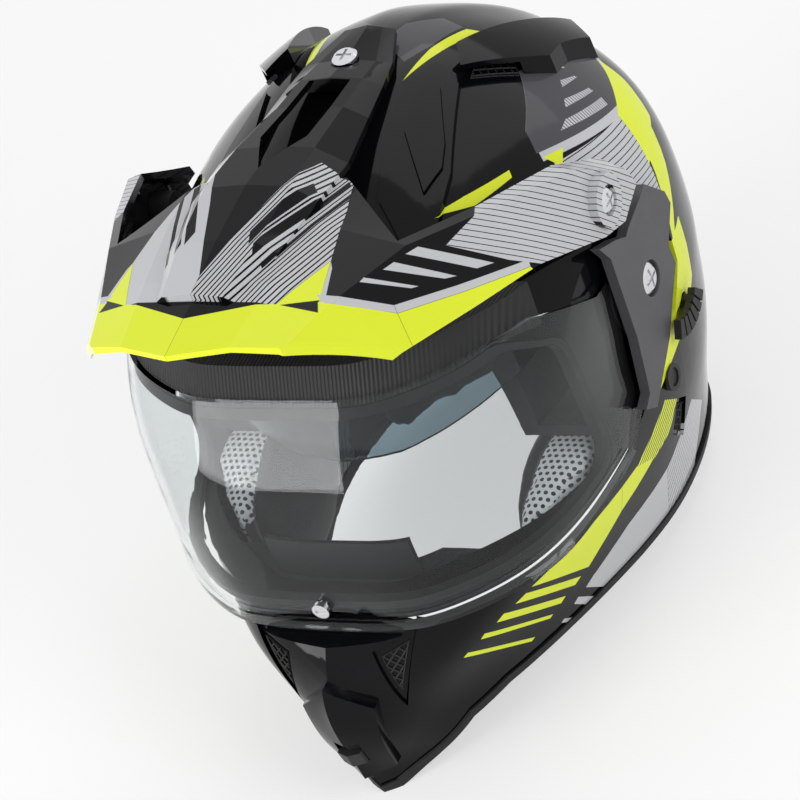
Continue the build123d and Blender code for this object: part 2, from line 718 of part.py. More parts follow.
def lever_place(radius, turn):
    """A point at a radius and turn from the sun visor's axis."""
    angle = math.radians(turn)
    return sun_pivot_back + radius * math.cos(angle), sun_pivot_height + radius * math.sin(angle)


stem_place = lever_place(lever_radius, lever_turn)
pad_face = plate_outer + lever_pad_gap
pad_turns = [lever_pad_front + (lever_pad_back - lever_pad_front) * step / lever_grooves
             for step in range(lever_grooves + 1)]
pad_outline = [lever_place(lever_pad_high, turn) for turn in pad_turns]
pad_outline += [lever_place(lever_pad_low, turn) for turn in reversed(pad_turns)]
lever = side_block(pad_outline, pad_face, pad_face + lever_pad_depth)
for turn in pad_turns[1:-1]:
    y, z = lever_place(lever_radius, turn)
    groove = Pos(pad_face + lever_pad_depth, y, z) * Rot(turn, 0, 0) * Box(
        2 * lever_groove_depth, 2 * lever_radius, lever_groove)
    lever = lever - groove
lever = lever + cross_disc(lever_stem, temple_inner - lever_washer_depth, pad_face + seat_gap, *stem_place)
lever = lever + cross_disc(
    lever_stem + lever_washer, temple_inner - seat_gap - lever_washer_depth, temple_inner - seat_gap,
    *stem_place)
write("sun_visor_lever", lever)

# Foam liner of the head, with the sun visor's pocket
head_foam = cut_all(
    shell_form(shell_wall + seat_gap, shell_wall),
    both_sides(temple_tool(temple_outline, temple_inner - seat_gap)))
foam_edge = side_points(foam_edge_shares, pivot_height)
foam_under = [(far_front, foam_edge[0][1]), *foam_edge, (foam_edge[-1][0], -overrun), (far_front, -overrun)]
head_foam = head_foam - side_block(foam_under, -far_side, far_side) - port_room - head_form(0)
pocket = sun_sector(sun_low_turn - sun_turn_play, sun_high_turn + sun_travel + sun_turn_play)
head_foam = head_foam - (pocket - sun_form(sun_pocket))
head_foam = cut_all(head_foam, both_sides(cross_disc(
    sun_hub_radius + sun_hub_room, sun_half_width - 2 * sun_hub_room, far_side, *sun_pivot)))
head_foam = head_foam - lever_slot(2 * lever_washer, temple_inner - 2 * lever_washer_depth, far_side)
head_foam = head_foam - upright_disc(crown_room_radius, crown_slot_floor, sky, crown_screw_back)
write("head_foam", max(head_foam.solids(), key=lambda item: item.volume))

# Foam of the chin bar
chin_keep = side_block(
    [(far_front, chin_foam_front_floor), (-chin_foam_back, chin_foam_back_floor), (-chin_foam_back, chin_foam_top),
     (far_front, chin_foam_top)], -far_side, far_side)
chin_foam = shell_form(shell_wall + seat_gap, shell_wall) & chin_keep
chin_foam = chin_foam - shell_form(shell_wall + chin_foam_depth, shell_wall, open_levels)
write("chin_foam", chin_foam)

# Gasket round the eye port
gasket_hole = [
    (far_front, port_bottom + gasket_band), (-port_side - gasket_band, port_bottom + gasket_band),
    (-port_side - gasket_band, port_top - port_brow_drop), (-port_side - port_brow_run, port_top - gasket_band),
    (far_front, port_top - gasket_band),
]
gasket = port_room - side_block(gasket_hole, -far_side, far_side, port_corner)
gasket = gasket & (visor_form(visor_thickness + gasket_gap) - visor_form(visor_thickness + gasket_depth))
write("port_gasket", max(gasket.solids(), key=lambda item: item.volume))

# Brow piece between the port and the peak
brow_outline = [
    (-chin_reach, port_top + seat_gap), (-port_side - port_brow_run, port_top + seat_gap),
    *side_points(brow_shares, port_top),
]
brow = visor_form(visor_thickness + visor_gap) & side_block(brow_outline, -far_side, far_side)
brow = brow - shell_form(-seat_gap)
write("brow_trim", max(brow.solids(), key=lambda item: item.volume))

# Cheek pads, crowned towards the face, each with one sewn channel
cheek = shell_form(shell_wall + soft_gap, shell_wall) & side_block(
    side_points(cheek_pad_shares, pivot_height), 0, far_side, cheek_pad_corner)
cheek = cheek - temple_tool(temple_outline, temple_inner - soft_gap)
cheek = cheek & (Pos(*cheek_crown_place) * Sphere(cheek_crown_radius))
channel = Pos(*cheek_crown_place) * (
    Box(4 * cheek_crown_radius, 4 * cheek_crown_radius, channel_width)
    - Sphere(cheek_crown_radius - channel_depth))
write_pair("cheek_pad", cheek - channel)

# Crown pad with channels from front to back
crown_pad = head_form(crown_pad_gap) & side_block(
    side_points(crown_pad_shares, head_height), -crown_pad_half_width, crown_pad_half_width)
crown_pad = crown_pad - head_form(crown_pad_gap + crown_pad_depth, head_open_levels)
channel_form = head_form(crown_pad_gap + crown_pad_depth - channel_depth, head_open_levels)
for count in range(crown_channels):
    place = (count - (crown_channels - 1) / 2) * crown_channel_pitch
    crown_pad = crown_pad - (channel_form & (Pos(place, 0, head_height) * Box(
        channel_width, 2 * head_height, 2 * head_height)))
write("crown_pad", crown_pad)

# Neck roll round the nape
neck_inset = shell_wall + rim_overhang + seat_gap
neck_roll = shell_form(neck_inset) & side_block(
    side_points(neck_roll_shares, rear_reach), -far_side, far_side)
neck_roll = neck_roll - shell_form(neck_inset + neck_roll_depth, 0, open_levels)
write("neck_roll", neck_roll)

# Chin vent cover, its slider and the breath guard
chin_zone = -chin_foam_back
cover_outline = [(chin_reach * x, chin_reach * z) for x, z in cover_shares]
cover = shell_form(-cover_height, 0, open_levels) & front_block(cover_outline, far_front, chin_zone)
cover = cover - shell_form(-seat_gap, 0, open_levels)
hollow = shell_form(cover_roof - cover_height, 0, open_levels) & front_block(
    cover_outline, far_front, chin_zone, cover_wall)
cover = cover - hollow


def chin_rect(half_width, low, high):
    """A rectangle of the chin's front view, carried back to the chin's rear."""
    corners = [(-half_width, low), (half_width, low), (half_width, high), (-half_width, high)]
    return front_block(corners, far_front, chin_zone)


slider_high = slider_low + slider_button_height
cover = cover - chin_rect(
    slider_button_half_width + slider_play, slider_low - slider_play, slider_high + slider_travel + slider_play)
write("chin_vent_cover", cover)
slider_floor = shell_form(-slider_plate_low, 0, open_levels)
slider_plate = shell_form(-slider_plate_high, 0, open_levels) & chin_rect(
    slider_plate_half_width, slider_low - slider_plate_margin / 2, slider_high + slider_plate_margin)
slider_button = shell_form(-slider_button_rise, 0, open_levels) & chin_rect(
    slider_button_half_width, slider_low, slider_high)
write("chin_vent_slider", (slider_plate + slider_button) - slider_floor)
guard = (visor_form(guard_inset) - visor_form(guard_inset + guard_thickness)) & chin_rect(
    guard_half_width, chin_foam_top + seat_gap, guard_top)
write("breath_guard", max(guard.solids(), key=lambda item: item.volume))
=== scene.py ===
"""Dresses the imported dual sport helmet: lacquer, clear parts, padding, vents, light and camera."""
import logging
import math
from dataclasses import dataclass, field
from enum import Enum

import bpy
from mathutils import Matrix, Vector


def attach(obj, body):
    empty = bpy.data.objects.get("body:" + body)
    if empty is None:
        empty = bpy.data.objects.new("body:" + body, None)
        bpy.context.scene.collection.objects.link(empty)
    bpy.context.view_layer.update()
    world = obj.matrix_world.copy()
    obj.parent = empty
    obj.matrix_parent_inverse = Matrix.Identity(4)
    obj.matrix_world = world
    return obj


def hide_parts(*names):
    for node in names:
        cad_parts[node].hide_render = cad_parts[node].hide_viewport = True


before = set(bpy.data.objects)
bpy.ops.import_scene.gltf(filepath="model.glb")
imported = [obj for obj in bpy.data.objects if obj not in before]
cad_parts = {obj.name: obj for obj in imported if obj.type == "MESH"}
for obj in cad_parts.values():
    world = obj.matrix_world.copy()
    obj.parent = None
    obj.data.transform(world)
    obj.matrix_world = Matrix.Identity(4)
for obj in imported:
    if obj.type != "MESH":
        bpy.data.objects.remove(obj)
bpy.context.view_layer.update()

LOG = logging.getLogger("helmet")
MM = 0.001
WAVE_PERIOD = math.pi / 10
HELMET = "helmet"


class Plane(Enum):
    """The flat view that a panel or a seam is drawn in, as two axes of the object."""

    SIDE = (1, 2)
    TOP = (0, 1)
    FRONT = (0, 2)


class Swatch(Enum):
    """The paint colours, as sRGB hex."""

    BLACK = "#08090A"
    CHARCOAL = "#4C4C50"
    NEON = "#DBE733"
    SILVER = "#BDBEC1"
    NIGHT = "#131416"


def linear(hexadecimal: str) -> tuple[float, float, float, float]:
    """Turn an sRGB hex colour into the linear colour that a shader takes.

    Args:
        hexadecimal: The colour, such as #D9E81E.

    Returns:
        Linear red, green, blue and an alpha of one.
    """
    channels = [int(hexadecimal[place:place + 2], 16) / 255 for place in (1, 3, 5)]
    levels = [c / 12.92 if c <= 0.04045 else ((c + 0.055) / 1.055) ** 2.4 for c in channels]
    return (levels[0], levels[1], levels[2], 1.0)


def add(tree: bpy.types.NodeTree, kind: str, inputs: dict | None = None, output: int | str = 0,
        **settings: object) -> bpy.types.NodeSocket | None:
    """Add one node to a tree, set it and link it.

    Args:
        tree: The material's or world's nodes.
        kind: Blender's name for the node.
        inputs: Socket name or number, to a value or to the socket that feeds it.
        output: The name or number of the socket that is wanted.
        **settings: The node's own settings.

    Returns:
        The wanted output socket, or None for a node that has none.
    """
    node = tree.nodes.new(kind)
    for name, value in settings.items():
        setattr(node, name, value)
    for key, value in (inputs or {}).items():
        if isinstance(value, bpy.types.NodeSocket):
            tree.links.new(value, node.inputs[key])
        else:
            node.inputs[key].default_value = value
    return node.outputs[output] if node.outputs else None


def blank(title: str) -> tuple[bpy.types.Material, bpy.types.NodeTree, bpy.types.NodeSocket]:
    """Start a material with no nodes but the place on the object.

    Args:
        title: The real material's name.

    Returns:
        The material, its nodes and the socket that gives the place in metres.
    """
    material = bpy.data.materials.new(title)
    material.use_nodes = True
    material.node_tree.nodes.clear()
    return material, material.node_tree, add(material.node_tree, "ShaderNodeTexCoord", output="Object")


def folded(tree: bpy.types.NodeTree, place: bpy.types.NodeSocket) -> bpy.types.NodeSocket:
    """Fold the right side onto the left, so that one drawing serves both.

    Args:
        tree: The material's nodes.
        place: The place on the object.

    Returns:
        The folded place.
    """
    split = add(tree, "ShaderNodeSeparateXYZ", {0: place}).node.outputs
    side = add(tree, "ShaderNodeMath", {0: split[0]}, operation="ABSOLUTE")
    return add(tree, "ShaderNodeCombineXYZ", {0: side, 1: split[1], 2: split[2]})


def flat_direction(plane: Plane, first: float, second: float) -> tuple[float, ...]:
    """The direction in space of a direction in a flat view.

    Args:
        plane: The flat view.
        first: The share along its first axis.
        second: The share along its second axis.

    Returns:
        The three parts of the direction.
    """
    direction = [0.0, 0.0, 0.0]
    direction[plane.value[0]], direction[plane.value[1]] = first, second
    return tuple(direction)


@dataclass(frozen=True)
class Panel:
    """A painted or sewn area with straight edges, in millimetres of one flat view, corners in order."""

    plane: Plane
    swatch: Swatch
    corners: tuple[tuple[float, float], ...]
    mirrored: bool = True
    hatch: float = 0.0
    hatch_turn: float = 0.0
    hatch_share: float = 0.72

    def edges(self) -> list[tuple[tuple[float, float], tuple[float, float]]]:
        """Each edge as a corner and the unit direction that points into the panel.

        Returns:
            Pairs of a corner and a direction, both in the flat view.
        """
        middle = [sum(corner[axis] for corner in self.corners) / len(self.corners) for axis in (0, 1)]
        found = []
        for start, end in zip(self.corners, self.corners[1:] + self.corners[:1]):
            run, rise = end[0] - start[0], end[1] - start[1]
            length = math.hypot(run, rise)
            across, upward = -rise / length, run / length
            if (middle[0] - start[0]) * across + (middle[1] - start[1]) * upward < 0:
                across, upward = -across, -upward
            found.append((start, (across, upward)))
        return found

    def mask(self, tree: bpy.types.NodeTree, place: bpy.types.NodeSocket,
             edge: float = 0.15) -> bpy.types.NodeSocket:
        """How much of the panel's paint lies on a place, hatching included.

        Args:
            tree: The material's nodes.
            place: The place on the object.
            edge: The soft edge's width in millimetres.

        Returns:
            The mask's socket, from 0 to 1.
        """
        nearest = None
        for start, (across, upward) in self.edges():
            inward = flat_direction(self.plane, across, upward)
            along = add(tree, "ShaderNodeVectorMath", {0: place, 1: inward}, "Value",
                        operation="DOT_PRODUCT")
            offset = (start[0] * across + start[1] * upward) * MM
            distance = add(tree, "ShaderNodeMath", {0: along, 1: offset}, operation="SUBTRACT")
            nearest = distance if nearest is None else add(
                tree, "ShaderNodeMath", {0: nearest, 1: distance}, operation="MINIMUM")
        share = add(tree, "ShaderNodeMath", {0: nearest, 1: 1 / (edge * MM)}, operation="MULTIPLY",
                    use_clamp=True)
        if self.hatch:
            turn = math.radians(self.hatch_turn)
            direction = flat_direction(self.plane, -math.sin(turn), math.cos(turn))
            along = add(tree, "ShaderNodeVectorMath", {0: place, 1: direction}, "Value",
                        operation="DOT_PRODUCT")
            count = add(tree, "ShaderNodeMath", {0: along, 1: 1 / (self.hatch * MM)}, operation="MULTIPLY")
            part = add(tree, "ShaderNodeMath", {0: count}, operation="FRACT")
            stripe = add(tree, "ShaderNodeMath", {0: part, 1: self.hatch_share}, operation="LESS_THAN")
            share = add(tree, "ShaderNodeMath", {0: share, 1: stripe}, operation="MULTIPLY")
        return share


@dataclass(frozen=True)
class Lacquer:
    """Polyurethane lacquer, sprayed over moulded ABS, with decals under the clear coat.

    It looks wet and deep: sharp reflections, a very slight orange peel and crisp colour edges.
    """

    title: str
    base: Swatch
    panels: tuple[Panel, ...] = ()
    underside: Swatch | None = None
    below_level: float = -0.15
    inner_level: float = -0.02
    roughness: float = 0.08
    haze_size: float = 33.3
    haze: float = 0.05
    peel_size: float = 4.0
    peel_depth: float = 0.008
    flake_size: float = 0.6
    flake_share: float = 0.05
    flake_colour: str = "#20242A"

    def material(self) -> bpy.types.Material:
        """Build the paint.

        Returns:
            The finished material.
        """
        material, tree, place = blank(self.title)
        mirrored = folded(tree, place)
        flakes = add(tree, "ShaderNodeTexNoise", {
            "Vector": place, "Scale": 1 / (self.flake_size * MM)}, "Fac")
        tone = add(tree, "ShaderNodeMath", {0: flakes, 1: self.flake_share}, operation="MULTIPLY")
        colour = add(tree, "ShaderNodeMix", {
            0: tone, 6: linear(self.base.value), 7: linear(self.flake_colour)}, 2, data_type="RGBA")
        for panel in self.panels:
            share = panel.mask(tree, mirrored if panel.mirrored else place)
            colour = add(tree, "ShaderNodeMix", {0: share, 6: colour, 7: linear(panel.swatch.value)}, 2,
                         data_type="RGBA")
        if self.underside is not None:
            facing = add(tree, "ShaderNodeNewGeometry", output="True Normal")
            height = add(tree, "ShaderNodeVectorMath", {0: facing, 1: (0.0, 0.0, 1.0)}, "Value",
                         operation="DOT_PRODUCT")
            below = add(tree, "ShaderNodeMath", {0: height, 1: self.below_level}, operation="LESS_THAN")
            beside = add(tree, "ShaderNodeVectorMath", {0: place, 1: facing}, operation="MULTIPLY")
            turned = add(tree, "ShaderNodeVectorMath", {0: beside, 1: (1.0, 0.0, 0.0)}, "Value",
                         operation="DOT_PRODUCT")
            inner = add(tree, "ShaderNodeMath", {0: turned, 1: self.inner_level}, operation="LESS_THAN")
            below = add(tree, "ShaderNodeMath", {0: below, 1: inner}, operation="MAXIMUM")
            colour = add(tree, "ShaderNodeMix", {0: below, 6: colour, 7: linear(self.underside.value)}, 2,
                         data_type="RGBA")
        peel = add(tree, "ShaderNodeTexNoise", {"Vector": place, "Scale": 1 / (self.peel_size * MM)}, "Fac")
        normal = add(tree, "ShaderNodeBump", {"Height": peel, "Distance": self.peel_depth * MM})
        haze = add(tree, "ShaderNodeTexNoise", {
            "Vector": place, "Scale": 1 / (self.haze_size * MM), "Detail": 3.0}, "Fac")
        gloss = add(tree, "ShaderNodeMath", {
            0: haze, 1: self.haze, 2: self.roughness - 0.4 * self.haze}, operation="MULTIPLY_ADD")
        shader = add(tree, "ShaderNodeBsdfPrincipled", {
            "Base Color": colour, "Roughness": gloss, "Normal": normal, "Specular IOR Level": 0.12,
            "Coat Weight": 0.05, "Coat Roughness": 0.03})
        add(tree, "ShaderNodeOutputMaterial", {"Surface": shader})
        return material


@dataclass(frozen=True)
class Moulding:
    """Nylon, ABS or rubber, injection moulded, with a spark-eroded grain.

    It looks even and satin to matt, with a fine pebbling that breaks the highlights, and paler where it is
    rubbed.
    """

    title: str
    colour: str
    roughness: float = 0.5
    grain: float = 0.7
    depth: float = 0.04
    rub_size: float = 12.5
    rub_share: float = 0.18
    rub_colour: str = "#3A3A3C"
    rub_roughness: float = 0.14
    groove_pitch: float = 0.0
    groove_depth: float = 0.15
    groove_plane: Plane = Plane.FRONT

    def material(self) -> bpy.types.Material:
        """Build the moulded surface.

        Returns:
            The finished material.
        """
        material, tree, place = blank(self.title)
        rub = add(tree, "ShaderNodeTexNoise", {
            "Vector": place, "Scale": 1 / (self.rub_size * MM), "Detail": 4.0}, "Fac")
        rubbed = add(tree, "ShaderNodeMath", {0: rub, 1: self.rub_share}, operation="MULTIPLY")
        colour = add(tree, "ShaderNodeMix", {
            0: rubbed, 6: linear(self.colour), 7: linear(self.rub_colour)}, 2, data_type="RGBA")
        height = add(tree, "ShaderNodeTexVoronoi", {
            "Vector": place, "Scale": 1 / (self.grain * MM)}, "Distance")
        normal = add(tree, "ShaderNodeBump", {"Height": height, "Distance": self.depth * MM})
        if self.groove_pitch:
            direction = flat_direction(self.groove_plane, 1.0, 0.0)
            along = add(tree, "ShaderNodeVectorMath", {0: place, 1: direction}, "Value",
                        operation="DOT_PRODUCT")
            turn = add(tree, "ShaderNodeMath", {0: along, 1: 2 * math.pi / (self.groove_pitch * MM)},
                       operation="MULTIPLY")
            wave = add(tree, "ShaderNodeMath", {0: turn}, operation="SINE")
            normal = add(tree, "ShaderNodeBump", {
                "Height": wave, "Distance": self.groove_depth * MM, "Normal": normal})
        gloss = add(tree, "ShaderNodeMath", {
            0: rub, 1: self.rub_roughness, 2: self.roughness - self.rub_roughness / 2},
            operation="MULTIPLY_ADD")
        shader = add(tree, "ShaderNodeBsdfPrincipled", {
            "Base Color": colour, "Roughness": gloss, "Normal": normal, "Specular IOR Level": 0.4})
        add(tree, "ShaderNodeOutputMaterial", {"Surface": shader})
        return material


@dataclass(frozen=True)
class Plating:
    """Nickel and chromium plated steel, turned before it was plated.

    It looks bright and cool, with faint rings that stretch the highlights, and small cloudy patches.
    """

    title: str = "Chromium plated steel, turned"
    colour: str = "#D6D7DA"
    roughness: float = 0.1
    cloud: float = 0.12
    cloud_size: float = 4.0
    ring_pitch: float = 0.35
    ring_depth: float = 0.006

    def material(self) -> bpy.types.Material:
        """Build the plating.

        Returns:
            The finished material.
        """
        material, tree, place = blank(self.title)
        rings = add(tree, "ShaderNodeTexWave", {
            "Vector": place, "Scale": WAVE_PERIOD / (self.ring_pitch * MM), "Distortion": 1.5,
            "Detail": 2.0}, "Fac", wave_type="RINGS", rings_direction="X")
        cloud = add(tree, "ShaderNodeTexNoise", {
            "Vector": place, "Scale": 1 / (self.cloud_size * MM), "Detail": 3.0}, "Fac")
        gloss = add(tree, "ShaderNodeMath", {0: cloud, 1: self.cloud, 2: self.roughness},
                    operation="MULTIPLY_ADD")
        normal = add(tree, "ShaderNodeBump", {"Height": rings, "Distance": self.ring_depth * MM})
        shader = add(tree, "ShaderNodeBsdfPrincipled", {
            "Base Color": linear(self.colour), "Metallic": 1.0, "Roughness": gloss, "Normal": normal})
        add(tree, "ShaderNodeOutputMaterial", {"Surface": shader})
        return material


@dataclass(frozen=True)
class ClearSheet:
    """Polycarbonate, injection moulded and hard coated, clear or tinted.

    It looks like thin glass: clean reflections over what is behind, with a very slight flow in the surface.
    """

    title: str
    colour: str
    ior: float = 1.28
    flow_size: float = 33.3
    flow_depth: float = 0.008
    haze: float = 0.02

    def material(self) -> bpy.types.Material:
        """Build the clear sheet.

        Returns:
            The finished material.
        """
        material, tree, place = blank(self.title)
        flow = add(tree, "ShaderNodeTexNoise", {
            "Vector": place, "Scale": 1 / (self.flow_size * MM), "Detail": 1.0}, "Fac")
        normal = add(tree, "ShaderNodeBump", {"Height": flow, "Distance": self.flow_depth * MM})
        haze = add(tree, "ShaderNodeMath", {0: flow, 1: self.haze}, operation="MULTIPLY")
        shader = add(tree, "ShaderNodeBsdfPrincipled", {
            "Base Color": linear(self.colour), "Roughness": haze, "Normal": normal,
            "Transmission Weight": 1.0, "IOR": self.ior})
        add(tree, "ShaderNodeOutputMaterial", {"Surface": shader})
        return material


@dataclass(frozen=True)
class Seam:
    """A sewn line across a pad, in millimetres of one flat view."""

    plane: Plane
    start: tuple[float, float]
    end: tuple[float, float]
    depth: float = 1.3
    width: float = 4.0

    def across(self) -> tuple[float, float]:
        """The unit direction across the line."""
        run, rise = self.end[0] - self.start[0], self.end[1] - self.start[1]
        length = math.hypot(run, rise)
        return -rise / length, run / length

    def along(self) -> tuple[float, float]:
        """The unit direction along the line."""
        across = self.across()
        return across[1], -across[0]

    def distance(self, place: Vector) -> float:
        """How far a point in metres lies from the line or its ends, in metres.

        Args:
            place: The point.

        Returns:
            The distance, seen in the flat view.
        """
        first, second = self.plane.value
        offset = (place[first] - self.start[0] * MM, place[second] - self.start[1] * MM)
        ahead = self.along()
        reach = math.hypot(self.end[0] - self.start[0], self.end[1] - self.start[1]) * MM
        travelled = min(max(offset[0] * ahead[0] + offset[1] * ahead[1], 0.0), reach)
        return math.hypot(offset[0] - travelled * ahead[0], offset[1] - travelled * ahead[1])


@dataclass(frozen=True)
class Lining:
    """Brushed polyester knit over soft foam, with perforated spacer mesh sewn in.

    It looks soft and dark with a short nap that pales at the edges, and the mesh shows rows of dark holes.
    The thread is drawn thicker than it is, so that its stitches show.
    """

    title: str
    colour: str = "#18181A"
    cloud_colour: str = "#2A2A2D"
    cloud_size: float = 20.0
    nap_size: float = 1.1
    mesh: Panel | None = None
    mesh_colour: str = "#DCDDE0"
    seams: tuple[Seam, ...] = ()
    hole_colour: str = "#1B1C1E"
    hole_pitch: float = 3.6
    hole_share: float = 0.3
    row_share: float = 0.87
    level_rise: float = 0.6
    wale_pitch: float = 1.1
    stitch_pitch: float = 3.2
    stitch_share: float = 0.68
    thread: float = 0.5
    thread_colour: str = "#4A4B4F"
    relief: float = 0.3

    def holes(self, tree: bpy.types.NodeTree, place: bpy.types.NodeSocket,
              plane: Plane) -> bpy.types.NodeSocket:
        """The mesh's staggered holes in one flat view.

        Args:
            tree: The material's nodes.
            place: The place on the object.
            plane: The flat view that the rows are laid out in.

        Returns:
            One in a hole and nought between the holes.
        """
        split = add(tree, "ShaderNodeSeparateXYZ", {0: place}).node.outputs
        row_pitch = self.hole_pitch * self.row_share * MM
        rows = add(tree, "ShaderNodeMath", {0: split[plane.value[1]], 1: 1 / row_pitch},
                   operation="MULTIPLY")
        row = add(tree, "ShaderNodeMath", {0: rows}, operation="FLOOR")
        odd = add(tree, "ShaderNodeMath", {0: row, 1: 2.0}, operation="FLOORED_MODULO")
        shift = add(tree, "ShaderNodeMath", {0: odd, 1: 0.5}, operation="MULTIPLY")
        posts = add(tree, "ShaderNodeMath", {
            0: split[plane.value[0]], 1: 1 / (self.hole_pitch * MM), 2: shift}, operation="MULTIPLY_ADD")
        sides = []
        for count in (posts, rows):
            part = add(tree, "ShaderNodeMath", {0: count}, operation="FRACT")
            centred = add(tree, "ShaderNodeMath", {0: part, 1: 0.5}, operation="SUBTRACT")
            sides.append(add(tree, "ShaderNodeMath", {0: centred, 1: 2.0}, operation="POWER"))
        spread = add(tree, "ShaderNodeMath", {0: sides[0], 1: sides[1]}, operation="ADD")
        return add(tree, "ShaderNodeMath", {0: spread, 1: self.hole_share ** 2}, operation="LESS_THAN")

    def stitches(self, tree: bpy.types.NodeTree, place: bpy.types.NodeSocket,
                 seam: Seam) -> bpy.types.NodeSocket:
        """The thread along one seam.

        Args:
            tree: The material's nodes.
            place: The place on the object.
            seam: The sewn line.

        Returns:
            One on the thread and nought beside it.
        """
        across, ahead = seam.across(), seam.along()
        aside = add(tree, "ShaderNodeVectorMath", {
            0: place, 1: flat_direction(seam.plane, *across)}, "Value", operation="DOT_PRODUCT")
        level = (seam.start[0] * across[0] + seam.start[1] * across[1]) * MM
        near = add(tree, "ShaderNodeMath", {0: aside, 1: level, 2: self.thread * MM}, operation="COMPARE")
        far = add(tree, "ShaderNodeVectorMath", {0: place, 1: flat_direction(seam.plane, *ahead)}, "Value",
                  operation="DOT_PRODUCT")
        count = add(tree, "ShaderNodeMath", {0: far, 1: 1 / (self.stitch_pitch * MM)}, operation="MULTIPLY")
        part = add(tree, "ShaderNodeMath", {0: count}, operation="FRACT")
        dash = add(tree, "ShaderNodeMath", {0: part, 1: self.stitch_share}, operation="LESS_THAN")
        return add(tree, "ShaderNodeMath", {0: near, 1: dash}, operation="MULTIPLY")

    def material(self) -> bpy.types.Material:
        """Build the cloth.

        Returns:
            The finished material.
        """
        material, tree, place = blank(self.title)
        mirrored = folded(tree, place)
        wale = add(tree, "ShaderNodeTexWave", {
            "Vector": place, "Scale": WAVE_PERIOD / (self.wale_pitch * MM), "Distortion": 2.0}, "Fac",
            bands_direction="Z")
        nap = add(tree, "ShaderNodeTexNoise", {
            "Vector": place, "Scale": 1 / (self.nap_size * MM), "Detail": 3.0}, "Fac")
        cloud = add(tree, "ShaderNodeTexNoise", {
            "Vector": place, "Scale": 1 / (self.cloud_size * MM), "Detail": 3.0}, "Fac")
        colour = add(tree, "ShaderNodeMix", {
            0: cloud, 6: linear(self.colour), 7: linear(self.cloud_colour)}, 2, data_type="RGBA")
        height = add(tree, "ShaderNodeMath", {0: wale, 1: 0.4, 2: nap}, operation="MULTIPLY_ADD")
        if self.mesh is not None:
            share = self.mesh.mask(tree, mirrored)
            facing = add(tree, "ShaderNodeNewGeometry", output="True Normal")
            rise = add(tree, "ShaderNodeVectorMath", {0: facing, 1: (0.0, 0.0, 1.0)}, "Value",
                       operation="DOT_PRODUCT")
            level = add(tree, "ShaderNodeMath", {0: rise, 1: self.level_rise}, operation="GREATER_THAN")
            upright = self.holes(tree, mirrored, Plane.SIDE)
            lying = self.holes(tree, mirrored, Plane.TOP)
            hole = add(tree, "ShaderNodeMix", {0: level, 2: upright, 3: lying})
            knit = add(tree, "ShaderNodeMix", {
                0: hole, 6: linear(self.mesh_colour), 7: linear(self.hole_colour)}, 2, data_type="RGBA")
            colour = add(tree, "ShaderNodeMix", {0: share, 6: colour, 7: knit}, 2, data_type="RGBA")
            sunk = add(tree, "ShaderNodeMath", {0: hole, 1: share}, operation="MULTIPLY")
            height = add(tree, "ShaderNodeMath", {0: sunk, 1: -3.0, 2: height}, operation="MULTIPLY_ADD")
        for seam in self.seams:
            thread = self.stitches(tree, mirrored, seam)
            colour = add(tree, "ShaderNodeMix", {0: thread, 6: colour, 7: linear(self.thread_colour)}, 2,
                         data_type="RGBA")
            height = add(tree, "ShaderNodeMath", {0: thread, 1: 1.5, 2: height}, operation="MULTIPLY_ADD")
        normal = add(tree, "ShaderNodeBump", {"Height": height, "Distance": self.relief * MM})
        shader = add(tree, "ShaderNodeBsdfPrincipled", {
            "Base Color": colour, "Roughness": 0.85, "Normal": normal, "Sheen Weight": 0.3,
            "Sheen Roughness": 0.5})
        add(tree, "ShaderNodeOutputMaterial", {"Surface": shader})
        return material


@dataclass(frozen=True)
class BeadFoam:
    """Expanded polystyrene, moulded from beads and painted dark.

    It looks dull and slightly pebbled, with the beads' outlines a shade darker.
    """

    title: str = "Expanded polystyrene beads, moulded and painted"
    bead: float = 3.8
    bead_depth: float = 0.4
    outline_colour: str = "#141416"
    bead_colour: str = "#232326"

    def material(self) -> bpy.types.Material:
        """Build the foam.

        Returns:
            The finished material.
        """
        material, tree, place = blank(self.title)
        beads = add(tree, "ShaderNodeTexVoronoi", {
            "Vector": place, "Scale": 1 / (self.bead * MM)}, "Distance")
        colour = add(tree, "ShaderNodeMix", {
            0: beads, 6: linear(self.outline_colour), 7: linear(self.bead_colour)}, 2, data_type="RGBA")
        normal = add(tree, "ShaderNodeBump", {"Height": beads, "Distance": self.bead_depth * MM})
        shader = add(tree, "ShaderNodeBsdfPrincipled", {
            "Base Color": colour, "Roughness": 0.8, "Normal": normal})
        add(tree, "ShaderNodeOutputMaterial", {"Surface": shader})
        return material


def dress(finishes: dict[str, bpy.types.Material]) -> None:
    """Give CAD pieces their finishes.

    Args:
        finishes: The finish of each piece, by the piece's name.
    """
    for node, material in finishes.items():
        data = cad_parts[node].data
        data.materials.clear()
        data.materials.append(material)
        LOG.info("dressed %s with %s", node, material.name)


def take(piece: bpy.types.Object) -> None:
    """Make one piece the only one that is selected, and the active one."""
    bpy.ops.object.select_all(action="DESELECT")
    piece.select_set(True)
    bpy.context.view_layer.objects.active = piece


def bake_modifier(piece: bpy.types.Object, kind: str, **settings: object) -> None:
    """Put a modifier on the active piece, set it and apply it.

    Args:
        piece: The piece.
        kind: The modifier's type.
        **settings: The modifier's settings.
    """
    modifier = piece.modifiers.new(kind.lower(), kind)
    for name, value in settings.items():
        setattr(modifier, name, value)
    bpy.ops.object.modifier_apply(modifier=modifier.name)


